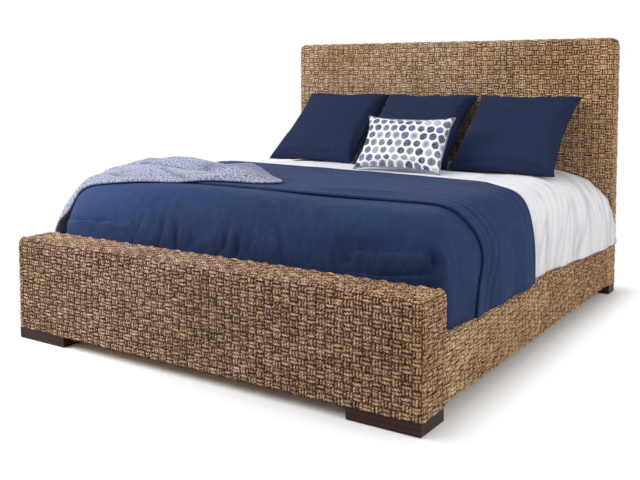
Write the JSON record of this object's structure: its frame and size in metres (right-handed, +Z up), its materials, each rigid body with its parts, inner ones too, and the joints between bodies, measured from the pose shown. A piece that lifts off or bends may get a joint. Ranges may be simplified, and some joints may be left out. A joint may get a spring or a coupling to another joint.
{
  "type": "rope bed",
  "caption": "Bed woven in twisted rope: headboard, thick footboard and hook-on side rails on dark block feet, with slatted base, mattress, bedding and pillows.",
  "frame": {"origin": "on the floor, under the middle of the bed", "axes": "+X to the right of someone standing at the foot and facing the headboard, +Y from the footboard to the headboard, +Z up"},
  "size_m": [2.1772, 2.44, 1.43],
  "materials": {
    "twisted_rope": "plain weave of twisted natural rope, matt",
    "frame_timber": "sanded, unfinished",
    "stained_wood": "dark stained, satin",
    "zinc_steel": "zinc plated",
    "felt": "pressed felt",
    "ticking": "woven ticking",
    "white_cotton": "washed cotton quilt",
    "navy_cotton": "washed linen and cotton, matt",
    "pale_knit": "bouclé knit, speckled",
    "navy_linen": "linen sham, matt",
    "dotted_cotton": "printed cotton with plain dots"
  },
  "bodies": {
    "bed_frame": {"footboard_weave": "twisted_rope", "footboard_panels": "frame_timber", "footboard_rails": "frame_timber", "footboard_posts": "frame_timber", "footboard_studs": "frame_timber", "headboard_weave": "twisted_rope", "headboard_panels": "frame_timber", "headboard_rails": "frame_timber", "headboard_posts": "frame_timber", "headboard_studs": "frame_timber", "side_rail_left": "frame_timber", "side_rail_right": "frame_timber", "side_weave_left": "twisted_rope", "side_weave_right": "twisted_rope", "mounting_blocks": "frame_timber", "slot_plates": "zinc_steel", "hook_plates": "zinc_steel", "plate_screws": "zinc_steel", "ledger_left": "frame_timber", "ledger_right": "frame_timber", "ledger_screws": "zinc_steel", "centre_beam": "frame_timber", "beam_saddles": "zinc_steel", "saddle_screws": "zinc_steel", "slat_01": "frame_timber", "slat_02": "frame_timber", "slat_03": "frame_timber", "slat_04": "frame_timber", "slat_05": "frame_timber", "slat_06": "frame_timber", "slat_07": "frame_timber", "slat_08": "frame_timber", "slat_09": "frame_timber", "slat_10": "frame_timber", "slat_11": "frame_timber", "slat_12": "frame_timber", "slat_screws": "zinc_steel", "centre_legs": "frame_timber", "leg_inserts": "zinc_steel", "foot_block_front_left": "stained_wood", "foot_block_front_right": "stained_wood", "foot_block_rear_left": "stained_wood", "foot_block_rear_right": "stained_wood", "foot_pads": "felt", "foot_block_screws": "zinc_steel", "box_spring_left": "ticking", "box_spring_right": "ticking"},
    "mattress": {"mattress": "ticking", "quilt": "white_cotton"},
    "duvet": {"duvet": "navy_cotton"},
    "throw": {"throw": "pale_knit"},
    "pillow_left": {"pillow_left": "navy_linen"},
    "pillow_centre": {"pillow_centre": "navy_linen"},
    "pillow_right": {"pillow_right": "navy_linen"},
    "dotted_cushion": {"dotted_cushion": "dotted_cotton"},
    "leveller_foot": {"leveller_foot": "zinc_steel"},
    "leveller_middle": {"leveller_middle": "zinc_steel"},
    "leveller_head": {"leveller_head": "zinc_steel"}
  },
  "joints": [
    {"name": "mattress_lift", "type": "slide", "parent": "bed_frame", "child": "mattress", "axis": [0, 0, 1], "range_m": [0, 0.1]},
    {"name": "duvet_lift", "type": "slide", "parent": "mattress", "child": "duvet", "axis": [0, 0, 1], "range_m": [0, 0.12]},
    {"name": "throw_lift", "type": "slide", "parent": "duvet", "child": "throw", "axis": [0, 0, 1], "range_m": [0, 0.12]},
    {"name": "pillow_left_lift", "type": "slide", "parent": "mattress", "child": "pillow_left", "axis": [0, 0, 1], "range_m": [0, 0.15]},
    {"name": "pillow_centre_lift", "type": "slide", "parent": "mattress", "child": "pillow_centre", "axis": [0, 0, 1], "range_m": [0, 0.15]},
    {"name": "pillow_right_lift", "type": "slide", "parent": "mattress", "child": "pillow_right", "axis": [0, 0, 1], "range_m": [0, 0.15]},
    {"name": "dotted_cushion_lift", "type": "slide", "parent": "pillow_centre", "child": "dotted_cushion", "axis": [0, -0.8387, 0.5446], "range_m": [0, 0.15]},
    {"name": "leveller_foot_extend", "type": "slide", "parent": "bed_frame", "child": "leveller_foot", "axis": [0, 0, -1], "range_m": [0, 0.012]},
    {"name": "leveller_middle_extend", "type": "slide", "parent": "bed_frame", "child": "leveller_middle", "axis": [0, 0, -1], "range_m": [0, 0.012]},
    {"name": "leveller_head_extend", "type": "slide", "parent": "bed_frame", "child": "leveller_head", "axis": [0, 0, -1], "range_m": [0, 0.012]}
  ]
}
